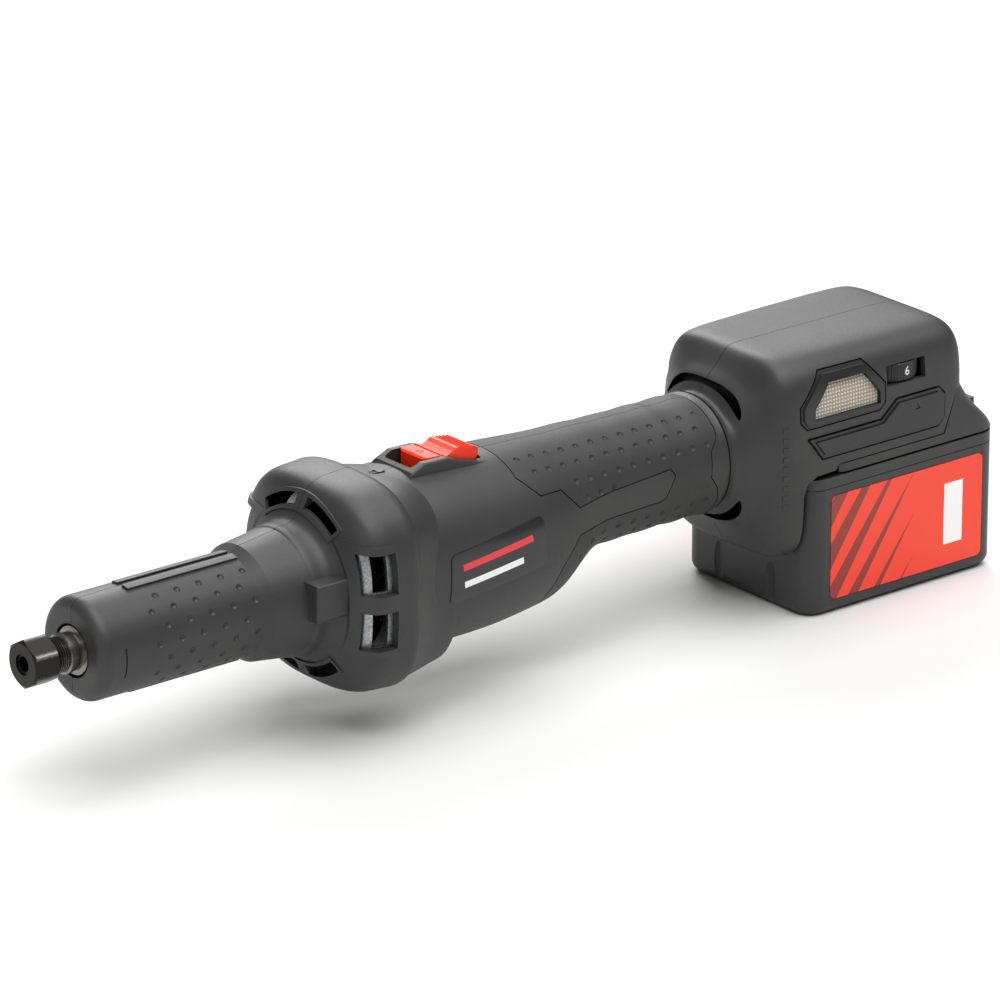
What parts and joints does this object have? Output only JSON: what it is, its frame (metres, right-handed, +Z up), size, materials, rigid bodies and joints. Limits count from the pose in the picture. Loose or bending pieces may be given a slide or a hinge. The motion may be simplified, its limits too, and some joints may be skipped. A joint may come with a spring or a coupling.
{
  "type": "cordless die grinder",
  "caption": "Long-necked straight die grinder with collet, slide switch, speed dial, air filters and slide-on battery pack.",
  "frame": {"origin": "centre of the collet's mouth on the spindle axis", "axes": "+X back along the tool from collet to head, +Z up towards the slide switch, +Y to the tool's right seen from behind with the collet away"},
  "size_m": [0.456, 0.0852, 0.1084],
  "materials": {
    "housing": "matte",
    "dark_plastic": "matte",
    "soft_grip": "matte",
    "tool_steel": "satin",
    "bearing_steel": "polished",
    "spring_steel": "satin",
    "alloy": "cast",
    "laminations": "satin",
    "copper": "enamelled",
    "magnet": "plated",
    "orange_plastic": "satin",
    "filter_cloth": "woven",
    "label": "satin",
    "pack_label": "satin",
    "circuit_board": "matte",
    "chips": "matte",
    "wire": "matte",
    "cell_wrap": "satin"
  },
  "bodies": {
    "motor_unit": {"neck_tube": "alloy", "neck_seal": "dark_plastic", "bearing_outer_races": "bearing_steel", "fan_shroud": "alloy", "motor_bracket": "alloy", "stator_core": "laminations", "stator_windings": "copper", "stator_insulators": "dark_plastic", "sensor_board": "circuit_board", "front_cover_left": "housing", "front_cover_right": "housing", "main_housing_left": "housing", "main_housing_right": "housing", "grip_sleeve_left": "soft_grip", "grip_sleeve_right": "soft_grip", "head_left": "housing", "head_right": "housing", "battery_rail": "housing", "terminal_block": "dark_plastic", "terminal_blades": "copper", "micro_switch": "chips", "dial_board": "circuit_board", "trim_bar_left": "dark_plastic", "trim_bar_right": "dark_plastic", "nameplate_left": "label", "nameplate_right": "label", "controller_tray": "alloy", "controller_board": "circuit_board", "board_parts": "chips", "motor_leads": "wire", "battery_leads": "wire", "housing_screws": "tool_steel"},
    "spindle": {"spindle": "tool_steel", "coupling_sleeve": "tool_steel", "motor_shaft": "bearing_steel", "cooling_fan": "dark_plastic", "rotor_core": "laminations", "rotor_magnets": "magnet", "bearing_inner_races": "bearing_steel", "bearing_balls": "bearing_steel"},
    "collet": {"collet": "tool_steel"},
    "collet_nut": {"collet_nut": "tool_steel"},
    "switch": {"switch_slider": "orange_plastic", "switch_rod": "dark_plastic"},
    "speed_dial": {"speed_dial": "dark_plastic"},
    "filter_left": {"filter_frame_left": "dark_plastic", "filter_cloth_left": "filter_cloth"},
    "filter_right": {"filter_frame_right": "dark_plastic", "filter_cloth_right": "filter_cloth"},
    "battery": {"battery_case": "housing", "battery_cover": "housing", "battery_contacts": "copper", "battery_cells": "cell_wrap", "cell_holders": "dark_plastic", "battery_board": "circuit_board", "battery_label_left": "pack_label", "battery_label_right": "pack_label", "latch_spring": "spring_steel"},
    "battery_latch": {"latch_button": "dark_plastic"}
  },
  "joints": [
    {"name": "spindle_spin", "type": "hinge", "parent": "motor_unit", "child": "spindle", "pos_m": [0, 0, 0], "axis": [1, 0, 0], "continuous": true},
    {"name": "collet_release", "type": "slide", "parent": "spindle", "child": "collet", "axis": [-1, 0, 0], "range_m": [0, 0.0031]},
    {"name": "nut_unscrew", "type": "hinge", "parent": "collet", "child": "collet_nut", "pos_m": [0, 0, 0], "axis": [-1, 0, 0], "range_deg": [0, 1080]},
    {"name": "switch_slide", "type": "slide", "parent": "motor_unit", "child": "switch", "axis": [-1, 0, 0], "range_m": [0, 0.006]},
    {"name": "dial_turn", "type": "hinge", "parent": "motor_unit", "child": "speed_dial", "pos_m": [0.4028, -0.0244, 0.0346], "axis": [0, 0, 1], "range_deg": [0, 230]},
    {"name": "filter_left_pull", "type": "slide", "parent": "motor_unit", "child": "filter_left", "axis": [0, -1, 0], "range_m": [0, 0.012]},
    {"name": "filter_right_pull", "type": "slide", "parent": "motor_unit", "child": "filter_right", "axis": [0, 1, 0], "range_m": [0, 0.012]},
    {"name": "battery_slide", "type": "slide", "parent": "motor_unit", "child": "battery", "axis": [1, 0, 0], "range_m": [0, 0.1]},
    {"name": "latch_press", "type": "slide", "parent": "battery", "child": "battery_latch", "axis": [0, 0, -1], "range_m": [0, 0.0035], "stiffness_N_per_m": 900, "springref_m": -0.002, "deforming": ["latch_spring"]}
  ],
  "couplings": [
    {"joint": "collet_release", "follows": "nut_unscrew", "m_per_rad": 0.00015915}
  ]
}
